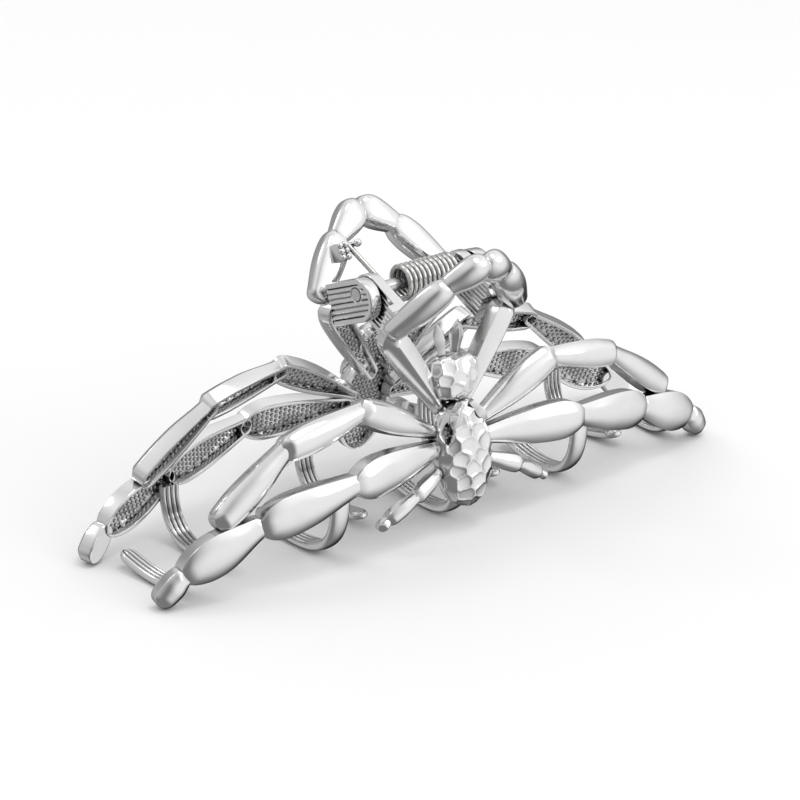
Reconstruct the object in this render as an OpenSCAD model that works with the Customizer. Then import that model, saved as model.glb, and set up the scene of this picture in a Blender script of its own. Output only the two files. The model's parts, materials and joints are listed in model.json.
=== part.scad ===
/* [Clip] */
// Length over the leg tips
clip_length = 120; // [104:1:144]
// Height of the hinge axis above the surface it stands on
hinge_height = 38.8; // [35:0.2:47]
// Depth over the crowns of the main legs
clip_depth = 34; // [31:0.5:41]

/* [Hinge] */
// Diameter of the hinge pin
pin_d = 2.1; // [1.5:0.1:2.6]
// Radial running clearance of the pin in its bores
pin_clearance = 0.05; // [0.02:0.01:0.1]
// Length of the pin, over the outer ears
hinge_width = 26.4; // [26:0.2:32]
// Thickness of each outer ear, on the back half
outer_ear_t = 2.2; // [1.6:0.1:2.6]
// Thickness of each inner ear, on the front half
inner_ear_t = 2.0; // [1.5:0.1:2.4]
// Side gap between an outer and an inner ear
ear_gap = 0.5; // [0.3:0.1:0.9]
// Height of an ear plate
ear_h = 6.9; // [6:0.1:7.6]
// Depth of the ribs cut in the ear faces
rib_depth = 0.25; // [0.1:0.05:0.4]

/* [Spring] */
// Outer diameter of the coil
coil_d = 6.2; // [5.4:0.1:7.4]
// Wire diameter
wire_d = 0.9; // [0.7:0.05:1]
// Length of the coil along the pin
coil_length = 12; // [9:0.2:14]
// How far the coil has slid along the pin from the middle
coil_shift = 1.4; // [0:0.1:1.4]
// Distance from the hinge axis to the tip of each arm
arm_reach = 11.7; // [10.8:0.1:12.4]

/* [Legs] */
// Depth of a leg, from its crown to its open back
leg_depth = 3; // [2.4:0.1:3.6]
// Height of the crown above the side walls
crown = 1.3; // [0.8:0.1:1.6]
// Depth of the hollow in the back of a leg
hollow = 1.2; // [0.6:0.1:1.6]
// Width of the main leg at its thick ends
main_leg_w = 6.6; // [5.4:0.1:8]
// Width of the upper leg at its thick ends
upper_leg_w = 4.9; // [4:0.1:6]
// Width of the handle legs at their thick ends
handle_w = 4.7; // [4:0.1:5.6]
// Width of the short leg at its thick end
short_leg_w = 3; // [2.4:0.1:3.6]
// Width of the foot at the end of a main leg
foot_w = 4.6; // [3.8:0.1:5]

/* [Bodies] */
// Width of an abdomen
abdomen_w = 10; // [8:0.2:12]
// Width of a head
head_w = 8; // [6.4:0.2:9]
// Thickness of a body from its crown to its open back
body_depth = 4.4; // [3.6:0.2:5.2]
// Length of the two fangs on a head
fang_length = 4.2; // [3:0.1:5]

/* [Teeth] */
// Width of a tooth
tooth_w = 3.3; // [2.6:0.1:4]
// Thickness of a tooth
tooth_t = 1.8; // [1.4:0.1:2.2]
// Spacing of the teeth along one jaw of a nominal clip
tooth_pitch = 26; // [24:0.2:26.6]
// How far a tooth reaches past the middle plane
tooth_reach = 6; // [4:0.2:7]

/* [Hidden] */
eps = 0.05;

// Places are written for one quarter of the nominal clip and stretched to the sizes above.
kx = clip_length / 120;
ky = clip_depth / 34;
kz = hinge_height / 38.8;
function place(p) = [p[0] * kx, -p[1] * ky, p[2] * kz];
// Places on the handles keep their distance from the hinge axis and from the ears.
ear_shift = (hinge_width - 26.4) / 2;
function on_hinge(p) = [p[0] + ear_shift, -p[1], hinge_height + p[2]];
// Places by the abdomen keep their distance from its side.
function by_abdomen(p) = [p[0] + (abdomen_w - 10) / 2, -p[1] * ky, p[2] * kz];

// Joints of the legs, along the crown: outwards, away from the middle plane, and up
neck = place([3.7 / kx, 9.6, 20.8]);
main_joints = [
    by_abdomen([4.6, 14.3, 14.4]), place([24.5, 17, 14.1]), place([42, 14.6, 10.4]),
    place([55.6, 12.6, 5.1]), place([59.1, 11.6, 1.3])
];
upper_joints = [
    by_abdomen([4.3, 13, 17.2]), place([20, 12.8, 25]), place([35.2, 12.3, 21.9]),
    place([48, 12.4, 12.7])
];
short_joints = [
    by_abdomen([4.9, 14.6, 10.6]), by_abdomen([11.2, 16.1, 8.2]), by_abdomen([17.7, 15.1, 4.4])
];
knee = on_hinge([13.3, 9.9, -4.4]);
handle_bend = on_hinge([6, 14.4, 3.3]);
apex = [0, handle_bend[1] - 2.2, handle_bend[2] + 3.4];

outwards = [0, -1, 0];
// Ways the crowns face: straight out on the short legs, tipped up or down on the others
main_facing = [0, -1, 0.12];
upper_facing = [0, -1, 0.45];
lower_handle_facing = [0, -1, -0.3];
upper_handle_facing = [0, -1, -0.6];
// Share of a leg segment's length at which each section stands
stations = [0.03, 0.2, 0.45, 0.7, 0.88, 0.97];
// Share of the way from the thin width to the thick width at each station
swell = [0, 0.35, 0.75, 0.98, 0.95, 0.62];
// Share of the thickness change at each station: thin ends lie lower than thick ones
rise = [0, 0.5, 0.85, 1, 0.9, 0.45];
step_down = 0.6;
handle_depth = 2.8;
short_leg_depth = 2.2;
// The upper segment of a handle leg starts this far past the knee
knee_step = [0, -0.2, 0.6];

function unit(v) = v / norm(v);
function upright(n, t) = unit(n - (n * t) * t);
function mix(a, b, s) = a * (1 - s) + b * s;

// One section of a leg: a crown, two walls and an open hollow at the back
function section(half, depth, dome, pit) = concat(
    [for (a = [0:30:180]) [half * cos(a), dome * (sin(a) - 1)]],
    [
        [-half * 0.96, -depth], [-half * 0.66, -depth], [-half * 0.56, -depth + pit],
        [half * 0.56, -depth + pit], [half * 0.66, -depth], [half * 0.96, -depth]
    ]
);
function stand(points, centre, t, n) =
    let (across = cross(n, t))
    [for (p = points) centre + p[0] * across + p[1] * n];

// Direction at a joint, halfway between its two segments
function heading(joints, i) =
    let (last = len(joints) - 1)
    unit(
        (i > 0 ? unit(joints[i] - joints[i - 1]) : [0, 0, 0])
        + (i < last ? unit(joints[i + 1] - joints[i]) : [0, 0, 0])
    );

// Sections of a chain of segments, each thin at its start and thick at its end
function chain(joints, thin, thick, normal, depth, finish = undef) =
    [for (i = [0:len(joints) - 2], k = [0:len(stations) - 1])
        let (
            s = stations[k],
            final = i == len(joints) - 2,
            along = unit(joints[i + 1] - joints[i]),
            leave = final && !is_undef(finish) ? finish : heading(joints, i + 1),
            t = unit(s < 0.5 ? mix(heading(joints, i), along, 2 * s) : mix(along, leave, 2 * s - 1)),
            n = upright(normal, t),
            half = mix(thin[i], thick[i], swell[k]) / 2,
            low = step_down * (1 - rise[k]),
            closed = (i == 0 && k == 0) || (final && k == len(stations) - 1),
            pit = closed ? 0 : min(hollow, depth / 2) * rise[k]
        )
        stand(
            section(half, depth - low, min(crown, half * 0.8), pit),
            mix(joints[i], joints[i + 1], s) - n * low,
            t,
            n
        )
    ];

// A closed skin over a list of sections
module skin(rings) {
    n = len(rings[0]);
    last = len(rings) - 1;
    points = [for (r = rings, p = r) p];
    sides = [for (i = [0:last - 1], j = [0:n - 1])
        let (a = i * n + j, b = i * n + (j + 1) % n)
        each [[a, a + n, b], [b, a + n, b + n]]
    ];
    polyhedron(points, concat([[for (j = [0:n - 1]) j]], sides, [[for (j = [n:-1:1]) last * n + j % n]]));
}

module metal() color("silver") children();
module back() mirror([0, 1, 0]) children();
module left() mirror([1, 0, 0]) children();

module main_leg() metal() skin(chain(
    main_joints,
    [2.8, 3.8, 3.8, foot_w * 0.8],
    [main_leg_w, main_leg_w, main_leg_w * 0.94, foot_w],
    main_facing,
    leg_depth
));
module upper_leg() metal() skin(chain(
    upper_joints,
    [1.8, 2.8, 2.8],
    [upper_leg_w, upper_leg_w, upper_leg_w * 0.96],
    upper_facing,
    leg_depth
));
module short_leg() metal() skin(chain(
    short_joints,
    [1.8, 1.8],
    [short_leg_w, short_leg_w * 0.9],
    outwards,
    short_leg_depth
));
module handle_lower() metal() skin(chain(
    [neck, knee],
    [2.4],
    [handle_w],
    lower_handle_facing,
    leg_depth
));
module handle_upper() metal() skin(chain(
    [knee + knee_step, handle_bend, apex],
    [3.4, 3.2],
    [handle_w, handle_w * 0.95],
    upper_handle_facing,
    handle_depth,
    [-1, 0, 0]
));

// Bodies: sections across a rounded outline, stacked from top to bottom
function egg(top, bottom, width, depth, fat = 0.55) =
    [for (s = [0.02, 0.1, 0.25, 0.42, 0.6, 0.78, 0.91, 0.98])
        let (
            t = unit(bottom - top),
            n = upright(outwards, t),
            u = s < fat ? (fat - s) / fat : (s - fat) / (1 - fat),
            half = width / 2 * sqrt(1 - pow(u, 2.4)),
            deep = depth * (0.45 + 0.55 * sqrt(1 - u * u)),
            pit = s < 0.05 || s > 0.95 ? 0 : hollow
        )
        stand(section(half, deep, deep * 0.75, pit), mix(top, bottom, s) - n * (depth - deep), t, n)
    ];
abdomen_top = place([0, 15, 21.4]);
abdomen_bottom = place([0, 17.9, 4.4]);
head_top = place([0, 10.8, 29.4]);
head_bottom = place([0, 13.2, 21.7]);

module abdomen() metal() skin(egg(abdomen_top, abdomen_bottom, abdomen_w, body_depth));
// A fang: a slim leaf with four flat faces, widest a third of the way up
fang_w = 2.2;
fang_t = 1.7;
fang_foot = head_top + [1.2, 1.9, eps];
fang_tip = fang_foot + [0.7, 0.6, fang_length];
function leaf(w, t) = [[w / 2, 0], [0, t / 2], [-w / 2, 0], [0, -t / 2]];
module fang() {
    t = unit(fang_tip - fang_foot);
    skin([for (p = [[0, 0.5], [0.35, 1], [0.7, 0.8], [1, 0.15]])
        stand(leaf(fang_w * p[1], fang_t * p[1]), mix(fang_foot, fang_tip, p[0]), t, upright(outwards, t))]);
}
module head() metal() {
    skin(egg(head_top, head_bottom, head_w, body_depth - 0.6, 0.45));
    fang();
    left() fang();
}

// Teeth: a flat bar swept along an arc from the jaw to past the middle plane
function bezier(p, s) =
    pow(1 - s, 3) * p[0] + 3 * s * pow(1 - s, 2) * p[1] + 3 * s * s * (1 - s) * p[2] + pow(s, 3) * p[3];
function slope(p, s) = unit(bezier(p, s + 0.01) - bezier(p, s - 0.01));
tooth_low = tooth_t / 2;
tooth_rise = 1.7;
tooth_lean = 1.2;
// How low the middle of the arc is pulled so that its lowest section just reaches the ground
function tooth_dip(root_z, lift) = max([for (s = [0.3:0.05:0.9])
    (tooth_low - pow(1 - s, 3) * root_z - 3 * s * pow(1 - s, 2) * lift - pow(s, 3) * (tooth_low + tooth_rise))
    / (3 * s * (1 - s))
]);
// The arc bulges out below its root, runs along the ground and rises at the tip
function tooth_path(root, bulge) =
    let (lift = 2 - 1.6 * bulge, dip = tooth_dip(root[2], lift))
    [
        root,
        [root[0], root[1] - bulge, dip + lift],
        [root[0], root[1] * 0.4, dip],
        [root[0] + (root[0] > 0 ? tooth_lean : 0), tooth_reach, tooth_low + tooth_rise]
    ];
// Way the round outside of a tooth faces
tooth_facing = [0, -0.2, -1];
function bar(half, t) = [for (a = [22.5:45:360]) [half * cos(a) / cos(22.5), t / 2 * sin(a) / sin(67.5)]];
tooth_steps = 9;
// Root of a tooth at a nominal distance outwards: this far behind the open back of the main leg
// and below its crown line
function on_leg(x, behind, below) =
    let (
        i = len([for (j = main_joints) if (j[0] < x * kx) j]) - 1,
        s = (x * kx - main_joints[i][0]) / (main_joints[i + 1][0] - main_joints[i][0])
    )
    mix(main_joints[i], main_joints[i + 1], s) + [0, leg_depth + behind, -below];
centre_root = mix(abdomen_top, abdomen_bottom, 0.8) + [0, body_depth + 0.62, 0];
front_inner_root = on_leg(tooth_pitch, 0.79, 1.58);
front_outer_root = on_leg(2 * tooth_pitch + 1, 0.98, 1.41);
back_inner_root = on_leg(tooth_pitch / 2 + 0.5, 1.11, 2.57);
back_outer_root = on_leg(1.5 * tooth_pitch + 3, 1.1, 1.2);
module tooth(root, bulge) metal() {
    path = tooth_path(root, bulge);
    skin([for (i = [0:tooth_steps])
        let (
            s = i / tooth_steps,
            t = slope(path, s),
            half = tooth_w / 2 * (i == tooth_steps ? 0.5 : 1 - 0.15 * s),
            thick = tooth_t * (i == tooth_steps ? 0.5 : 1)
        )
        stand(bar(half, thick), bezier(path, s), t, upright(tooth_facing, t))
    ]);
}

pin_r = pin_d / 2;
bore_r = pin_r + pin_clearance;
outer_ear_x = hinge_width / 2 - outer_ear_t;
inner_ear_x = outer_ear_x - ear_gap - inner_ear_t;

// An ear: a plate with a round end about the pin, running down to the inner face of the knee
ear_tilt = atan2(hinge_height - knee[2], -knee[1]);
ear_run = norm([knee[1], knee[2] - hinge_height]) - leg_depth - 0.5;
knee_inside = knee[0] - handle_w / 2;
rib_pitch = 1;
rib_w = 0.5;
ear_drop = 0.7;
ear_foot = 1.6;
ear_overlap = 1;
module ear(x, thick) metal()
    translate([x, 0, hinge_height]) rotate([90, 0, 90]) rotate([0, 0, ear_tilt]) difference() {
        translate([0, -ear_drop, 0]) union() {
            cylinder(h = thick, d = ear_h, $fn = 64);
            translate([-ear_run, -ear_h / 2, 0]) cube([ear_run, ear_h, thick]);
            // A plate that misses the knee widens at its foot to reach under it
            if (x + thick < knee_inside + ear_overlap)
                translate([-ear_run, -ear_h / 2, 0])
                    cube([ear_foot, ear_h, knee_inside + ear_overlap - x]);
        }
        translate([0, 0, -eps]) cylinder(h = thick + 2 * eps, r = bore_r, $fn = 64);
        for (z = [rib_pitch - ear_h / 2:rib_pitch:(ear_h - rib_pitch) / 2], side = [0, thick])
            translate([ear_foot + rib_w / 2 - ear_run, z - rib_w / 2 - ear_drop, side - rib_depth])
                cube([ear_run, rib_w, 2 * rib_depth]);
    }

module hinge_pin() metal() translate([-hinge_width / 2, 0, hinge_height])
    rotate([0, 90, 0]) cylinder(h = hinge_width, r = pin_r, $fn = 64);

module spring_coil() color("gainsboro") translate([coil_shift - coil_length / 2, 0, hinge_height])
    rotate([0, 90, 0]) difference() {
        cylinder(h = coil_length, d = coil_d, $fn = 64);
        translate([0, 0, -eps]) cylinder(h = coil_length + 2 * eps, d = coil_d - 2 * wire_d, $fn = 64);
    }

// Arms: straight wires that leave the coil at a tangent and press on the handles from inside
function rod_turn(v) = [0, acos(v[2] / norm(v)), atan2(v[1], v[0])];
module rod(a, b, r) {
    translate(a) rotate(rod_turn(b - a)) cylinder(h = norm(b - a), r = r, $fn = 32);
    translate(b) sphere(r = r, $fn = 32);
}
coil_mean_r = (coil_d - wire_d) / 2;
arm_angle = 20;
arm_root_angle = arm_angle - acos(coil_mean_r / arm_reach);
module spring_arm(x_root, x_tip) color("gainsboro")
    rod(
        [x_root, -coil_mean_r * cos(arm_root_angle), hinge_height + coil_mean_r * sin(arm_root_angle)],
        [x_tip, -arm_reach * cos(arm_angle), hinge_height + arm_reach * sin(arm_angle)],
        wire_d / 2
    );
coil_left = coil_shift - coil_length / 2;
coil_right = coil_shift + coil_length / 2;
back_arm_x = -coil_left + wire_d / 2 + eps;
front_arm_x = coil_right + wire_d / 2 + eps;
// The tips lean out to the handles, which follow the ears
arm_lean = 1.2;
back_arm_tip_x = back_arm_x + arm_lean + ear_shift;
front_arm_tip_x = front_arm_x + ear_shift;

// Lug and hook: they hold the tip of an arm on the inner face of the handle
lug_w = 2.4;
lug_length = 3;
lug_h = 1.7;
lug_tilt = 60;
hook_d = 0.9;
hook_ball_d = 1.4;
hook_h = 1.5;
hook_drop = 0.8;
arm_play = 0.2;
module spring_lug(x) metal() {
    lug_x = x + wire_d / 2 + arm_play + lug_w / 2;
    s = (knee[0] - lug_x) / (knee[0] - handle_bend[0]);
    n = upright(-upper_handle_facing, unit(handle_bend - knee));
    translate(mix(knee, handle_bend, s) + n * (handle_depth + 2 * eps)) rotate([-lug_tilt, 0, 0]) {
        translate([-lug_w / 2, -lug_length / 2, 0]) cube([lug_w, lug_length, lug_h]);
        translate([-(lug_w + hook_ball_d) / 2 - wire_d - 2 * arm_play, -hook_drop, 0]) {
            cylinder(h = hook_h, d = hook_d, $fn = 32);
            translate([0, 0, hook_h]) sphere(d = hook_ball_d, $fn = 32);
        }
    }
}

back() abdomen();  // back_abdomen
back() head();  // back_head
back() left() handle_lower();  // back_handle_lower_left
back() handle_lower();  // back_handle_lower_right
back() left() handle_upper();  // back_handle_upper_left
back() handle_upper();  // back_handle_upper_right
back() left() upper_leg();  // back_upper_leg_left
back() upper_leg();  // back_upper_leg_right
back() left() main_leg();  // back_main_leg_left
back() main_leg();  // back_main_leg_right
back() left() short_leg();  // back_short_leg_left
back() short_leg();  // back_short_leg_right
back() left() ear(outer_ear_x, outer_ear_t);  // back_ear_left
back() ear(outer_ear_x, outer_ear_t);  // back_ear_right
abdomen();  // front_abdomen
head();  // front_head
left() handle_lower();  // front_handle_lower_left
handle_lower();  // front_handle_lower_right
left() handle_upper();  // front_handle_upper_left
handle_upper();  // front_handle_upper_right
left() upper_leg();  // front_upper_leg_left
upper_leg();  // front_upper_leg_right
left() main_leg();  // front_main_leg_left
main_leg();  // front_main_leg_right
left() short_leg();  // front_short_leg_left
short_leg();  // front_short_leg_right
left() ear(inner_ear_x, inner_ear_t);  // front_ear_left
ear(inner_ear_x, inner_ear_t);  // front_ear_right
hinge_pin();
spring_coil();
tooth(centre_root, 1.5);  // front_tooth_centre
left() tooth(front_inner_root, 1.5);  // front_tooth_inner_left
tooth(front_inner_root, 1.5);  // front_tooth_inner_right
left() tooth(front_outer_root, 0);  // front_tooth_outer_left
tooth(front_outer_root, 0);  // front_tooth_outer_right
back() left() tooth(back_inner_root, 1.5);  // back_tooth_inner_left
back() tooth(back_inner_root, 1.5);  // back_tooth_inner_right
back() left() tooth(back_outer_root, 0);  // back_tooth_outer_left
back() tooth(back_outer_root, 0);  // back_tooth_outer_right
back() left() spring_lug(back_arm_tip_x);  // back_spring_lug
spring_lug(front_arm_tip_x);  // front_spring_lug
back() left() spring_arm(back_arm_x, back_arm_tip_x);  // spring_arm_back
spring_arm(front_arm_x, front_arm_tip_x);  // spring_arm_front
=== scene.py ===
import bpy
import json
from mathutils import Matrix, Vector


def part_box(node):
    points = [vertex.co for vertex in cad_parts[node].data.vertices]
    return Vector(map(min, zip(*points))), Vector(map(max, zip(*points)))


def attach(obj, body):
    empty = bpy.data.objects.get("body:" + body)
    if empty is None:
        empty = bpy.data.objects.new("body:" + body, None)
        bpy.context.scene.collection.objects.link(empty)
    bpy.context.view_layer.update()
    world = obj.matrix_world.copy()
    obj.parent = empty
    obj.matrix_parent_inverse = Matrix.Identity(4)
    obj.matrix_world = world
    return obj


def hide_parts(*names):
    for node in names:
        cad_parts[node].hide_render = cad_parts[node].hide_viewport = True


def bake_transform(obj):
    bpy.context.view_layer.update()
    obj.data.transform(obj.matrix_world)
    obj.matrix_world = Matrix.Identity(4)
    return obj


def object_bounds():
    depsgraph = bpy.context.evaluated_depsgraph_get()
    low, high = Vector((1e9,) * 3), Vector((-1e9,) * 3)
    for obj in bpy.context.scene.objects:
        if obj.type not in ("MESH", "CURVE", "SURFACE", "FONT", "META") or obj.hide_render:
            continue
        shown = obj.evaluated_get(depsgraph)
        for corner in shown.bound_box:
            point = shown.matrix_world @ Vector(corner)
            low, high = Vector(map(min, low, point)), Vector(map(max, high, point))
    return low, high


bl_info = {
    "name": "Spider Claw Clip",
    "version": (1, 0, 0),
    "blender": (4, 5, 0),
    "location": "View3D > Sidebar > Claw Clip",
    "description": "Finishes a sprung metal claw clip whose jaws are cast as spiders",
    "category": "Add Mesh",
}

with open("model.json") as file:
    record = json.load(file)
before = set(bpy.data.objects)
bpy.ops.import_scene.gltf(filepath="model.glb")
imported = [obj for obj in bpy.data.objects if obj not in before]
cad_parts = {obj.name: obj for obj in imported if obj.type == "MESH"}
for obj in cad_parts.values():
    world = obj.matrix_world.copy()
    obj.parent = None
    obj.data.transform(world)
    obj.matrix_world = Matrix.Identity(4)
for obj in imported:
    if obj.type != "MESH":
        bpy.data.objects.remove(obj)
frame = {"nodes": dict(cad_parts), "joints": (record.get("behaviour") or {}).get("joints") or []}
cad_low, cad_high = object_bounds()

import json
import math
from typing import NamedTuple

import bpy
import numpy as np
from mathutils import Matrix, Vector

MM = 0.001
HINGE_Z = frame["joints"][0]["pos_m"][2] / MM
# The places below are for a clip this long and this deep, with its hinge this high (mm)
DRAWN_LENGTH, DRAWN_DEPTH, DRAWN_HINGE_Z = 120.44, 33.85, 38.8
STRETCH = np.array([
    (cad_high.x - cad_low.x) / MM / DRAWN_LENGTH,
    (cad_high.y - cad_low.y) / MM / DRAWN_DEPTH,
    HINGE_Z / DRAWN_HINGE_Z,
])
OUTWARDS = np.array([0.0, -1.0, 0.0])


# ---- vectors

def unit(v):
    return v / np.linalg.norm(v)


def upright(n, t):
    """The part of n square to t, as a unit vector."""
    return unit(n - np.dot(n, t) * t)


def mix(a, b, s):
    return a * (1 - s) + b * s


def smooth(x):
    x = np.clip(x, 0, 1)
    return x * x * (3 - 2 * x)


def soft_min(a, b, r):
    """The lower of two heights, with the crease between them rounded over r."""
    h = np.clip(0.5 + 0.5 * (b - a) / r, 0, 1)
    return b * (1 - h) + a * h - r * h * (1 - h)


# ---- places, for the front right quarter (mm)

def place(x, out, z):
    """A point given as outwards, away from the middle plane, and up."""
    return np.array([x, -out, z]) * STRETCH


def on_hinge(x, out, up):
    """A point that keeps its distance from the hinge axis."""
    return np.array([x, -out, HINGE_Z + up])


NECK = place(2.9, 11.3, 19.9)
MAIN = [place(4.6, 14.3, 14.4), place(24.5, 17, 14.1), place(42, 14.6, 10.4), place(55.6, 12.6, 5.1),
        place(59.1, 11.6, 1.3)]
UPPER = [place(4.3, 13, 17.2), place(20, 12.8, 25), place(35.2, 12.3, 21.9), place(48, 12.4, 12.7)]
SHORT = [place(4.9, 14.6, 10.6), place(11.2, 16.1, 8.2), place(17.7, 15.1, 4.4)]
# A handle leg runs from the neck to the knee, the bend and the apex, where it meets its mirror image
KNEE = on_hinge(13.3, 9.9, -4.4)
BEND = on_hinge(6, 14.4, 3.7)
APEX = BEND + np.array([-BEND[0], -2.2, 3.7])
KNEE_STEP = np.array([0, -0.2, 0.6])
ABDOMEN = (place(0, 14.8, 21.9), place(0, 17.9, 4.4))
HEAD = (place(0, 10.8, 29.4), place(0, 13.2, 21.7))
MAIN_FACING = np.array([0, -1, 0.12])
FOOT_FACING = np.array([0, -1, 0.25])
UPPER_FACING = np.array([0, -1, 0.45])
LOWER_HANDLE_FACING = np.array([0, -1, -0.3])
UPPER_HANDLE_FACING = np.array([0, -1, -0.6])


# ---- settings

def number(name, text, value, **more):
    return bpy.props.FloatProperty(name=name, description=text, default=value, **more)


def length(name, text, value):
    return number(name, text, value * MM, subtype="DISTANCE", unit="LENGTH", precision=5, min=0.0)


def tint(name, text, value):
    return bpy.props.FloatVectorProperty(
        name=name, description=text, default=value, subtype="COLOR", size=3, min=0, max=1)


class ClawShape(bpy.types.PropertyGroup):
    leg_depth: length("Leg depth", "From the crown of a leg to its open back", 3.8)
    crown: length("Crown", "Height of the crown above the side walls", 1.3)
    edge: length("Edge radius", "Rounding of the crisp edges", 0.13)
    rim: length("Rim", "Width of the smooth rim round a hollow back", 0.7)
    hollow: length("Hollow", "Depth of the hollow back", 1.4)
    bead: length("Bead", "Radius of one bead in a hollow back", 0.36)
    bead_pitch: length("Bead pitch", "Spacing of the rows of beads", 0.86)
    facet: length("Facet", "Spacing of the hammered facets on an abdomen", 2.6)
    facet_dish: number("Facet dish", "How hollow the facets are", 0.135, min=0)
    ridge: length("Ridge", "Height of the thin line between two facets", 0.14)
    tooth_width: length("Tooth width", "Width of one tooth", 3.6)
    tooth_thickness: length("Tooth thickness", "Thickness of one tooth", 1.8)
    groove_pitch: length("Ear groove pitch", "Spacing of the grooves on an ear", 0.86)
    groove_depth: length("Ear groove depth", "Depth of the grooves on an ear", 0.36)
    wire: length("Wire", "Diameter of the spring wire", 0.9)
    coil: length("Coil", "Outer diameter of the spring's coil", 6.2)


class ClawFinish(bpy.types.PropertyGroup):
    plating: tint("Plating", "Colour of the polished plating", (0.89, 0.89, 0.895))
    # Painted shade: the beads deep in the hollow backs get this darker plating colour for the shade that
    # falls there.
    recess_shade: tint("Recess shade", "Colour of the plating deep in the beaded backs", (0.68, 0.68, 0.68))
    pin: tint("Pin", "Colour of the hinge pin", (0.72, 0.72, 0.73))
    wire: tint("Wire", "Colour of the spring wire", (0.74, 0.735, 0.72))
    gloss: number("Roughness", "Roughness of the polished plating", 0.13, min=0, max=1)


class ClawStage(bpy.types.PropertyGroup):
    azimuth: number("Azimuth", "Turn of the camera round the clip, in degrees", -41.58)
    elevation: number("Elevation", "Height of the camera above the horizon, in degrees", 23.10)
    roll: number("Roll", "Turn of the camera about its own axis, in degrees", 2.65)
    distance: length("Distance", "From the camera to the point that it looks at", 531.0)
    lens: number("Lens", "Focal length of the camera, in millimetres", 147.2)
    floor: tint("Floor", "Colour of the floor", (0.93, 0.93, 0.93))
    light: number("Light", "Strength of the studio light", 1.0, min=0)


def shape():
    return bpy.context.scene.claw_shape


def mm(value):
    """A setting in metres as millimetres, which the outlines are written in."""
    return value / MM


# ---- meshes

HALVES = ("front", "back")


def outward(verts, faces):
    """The faces of a closed mesh, turned to point outwards."""
    six_volumes = 0.0
    for f in faces:
        for k in range(1, len(f) - 1):
            six_volumes += np.dot(verts[f[0]], np.cross(verts[f[k]], verts[f[k + 1]]))
    return faces if six_volumes > 0 else [tuple(reversed(f)) for f in faces]


def skin(rings):
    """A closed mesh over a list of sections, which all have as many points."""
    count = len(rings[0])
    verts = np.concatenate(rings)
    faces = []
    for i in range(len(rings) - 1):
        for j in range(count):
            k = (j + 1) % count
            a, b = i * count, (i + 1) * count
            faces.append((a + j, b + j, b + k, a + k))
    top = (len(rings) - 1) * count
    faces.append(tuple(reversed(range(count))))
    faces.append(tuple(range(top, top + count)))
    return verts, outward(verts, faces)


def mirrored(part, front, right):
    """A part of the front right quarter, moved to another quarter."""
    verts, faces = part
    verts = verts * np.array([1 if right else -1, 1 if front else -1, 1])
    return verts, faces if front == right else [tuple(reversed(f)) for f in faces]


def joined_mesh(name, parts):
    verts, faces, start = [], [], 0
    for part_verts, part_faces in parts:
        verts.append(part_verts)
        faces += [tuple(i + start for i in face) for face in part_faces]
        start += len(part_verts)
    mesh = bpy.data.meshes.new(name)
    mesh.from_pydata((np.concatenate(verts) * MM).tolist(), [], faces)
    mesh.update()
    return mesh


def add_object(name, data):
    made = bpy.data.objects.new(name, data)
    bpy.context.collection.objects.link(made)
    return made


def cast(node, half, right, parts, crease=38):
    """Makes the finished piece that stands for a node of the frame, from parts of the front right quarter."""
    name = node + "_cast"
    mesh = joined_mesh(name, [mirrored(part, half == "front", right) for part in parts])
    mesh.polygons.foreach_set("use_smooth", [True] * len(mesh.polygons))
    mesh.set_sharp_from_angle(angle=math.radians(crease))
    mesh.materials.append(material("plating"))
    piece = add_object(name, mesh)
    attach(piece, half + "_jaw")
    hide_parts(node)


def quarter_segments(kind, segments):
    """One piece of the same leg in each quarter of the clip."""
    parts = [segment.part() for segment in segments]
    for half in HALVES:
        for side in ("left", "right"):
            cast(f"{half}_{kind}_{side}", half, side == "right", parts)


# ---- sections

def rounded(points, corners, radius, steps=3):
    """A closed outline with the listed corners rounded; every other point stays."""
    out = []
    points = np.array(points)
    count = len(points)
    for i, p in enumerate(points):
        if i not in corners:
            out.append(p)
            continue
        a, b = points[i - 1] - p, points[(i + 1) % count] - p
        la, lb = np.linalg.norm(a), np.linalg.norm(b)
        pa = p + a * min(radius, 0.45 * la) / max(la, 1e-9)
        pb = p + b * min(radius, 0.45 * lb) / max(lb, 1e-9)
        for k in range(steps + 1):
            s = k / steps
            out.append(pa * (1 - s) ** 2 + p * 2 * s * (1 - s) + pb * s * s)
    return np.array(out)


def circle(points):
    """Angles evenly round a circle."""
    return np.linspace(0, 2 * math.pi, points + 1)[:-1]


def signed_power(x, power):
    return math.copysign(abs(x) ** power, x)


def lobe_section(half, top, bottom):
    """A full, rounded section, squarer on its inner side."""
    middle, tall = (top + bottom) / 2, (top - bottom) / 2
    points = []
    for a in circle(48):
        x, z = math.cos(a), math.sin(a)
        power = 0.9 if z > 0 else 2 / 3
        points.append((half * signed_power(x, power), middle + tall * signed_power(z, power)))
    return np.array(points)


DOME_POINTS, FLOOR_POINTS = 15, 5
# How many sections lie along a stretch of leg, and round each of its ends
LEG_SECTIONS, CAP_SECTIONS = 22, 9
# A leg's width at its open back, of its width at the edge
LEG_FOOT = 0.96
# The most beads on each side of a row's middle
BEADS_ASIDE = 12


def leg_section(half, edge_z, dome, depth, rim, pit, edge):
    """Crown, side walls, rim and hollow of a leg. dome gives the crown's height at each share across."""
    across = np.cos(np.linspace(0, math.pi, DOME_POINTS + 2))
    points = [(half * a, edge_z + (0 if abs(a) > 0.9999 else dome(a))) for a in across]
    corners = {0, DOME_POINTS + 1}
    foot = half * LEG_FOOT
    inner = max(foot - rim, foot * 0.25)
    floor = inner * 0.92
    points += [(-foot, -depth), (-inner, -depth)]
    corners |= {DOME_POINTS + 2, DOME_POINTS + 3}
    points += [(x, pit - depth) for x in np.linspace(-floor, floor, FLOOR_POINTS)]
    points += [(inner, -depth), (foot, -depth)]
    last = len(points)
    corners |= {last - 2, last - 1}
    return rounded(points, corners, edge)


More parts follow.
